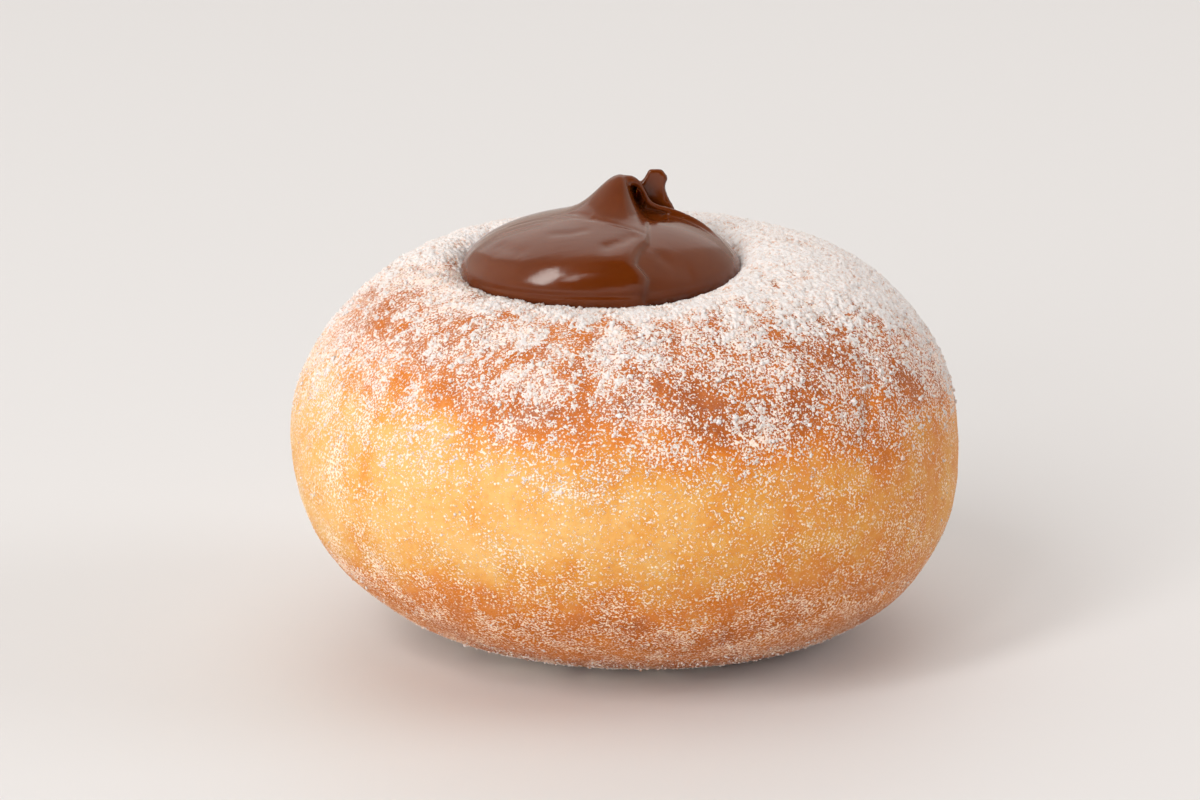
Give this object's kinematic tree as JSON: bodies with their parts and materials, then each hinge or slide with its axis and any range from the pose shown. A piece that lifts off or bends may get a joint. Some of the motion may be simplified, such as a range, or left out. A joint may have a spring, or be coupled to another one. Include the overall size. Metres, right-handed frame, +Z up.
{
  "type": "filled bombolone",
  "caption": "Round fried bun, dusted with icing sugar, with a dollop of cocoa cream drawn up to a curled peak in the dimple of its crown.",
  "frame": {"origin": "on the surface that the bun rests on, below the middle of the bun's bounding box", "axes": "+Z up out of the cream's peak, -Y towards the viewer of the bun's front, +X to that viewer's right"},
  "size_m": [0.085, 0.0826, 0.0599],
  "materials": {
    "fried_dough": "matte fried crust, pale yellow round its belt and brown above and below, dusted with icing sugar",
    "cocoa_cream": "glossy smooth hazelnut and cocoa cream",
    "icing_sugar": "matt white powder in fine grains and small clumps"
  },
  "bodies": {
    "root": {"dough_bun": "fried_dough", "cocoa_cream": "cocoa_cream"}
  },
  "joints": []
}
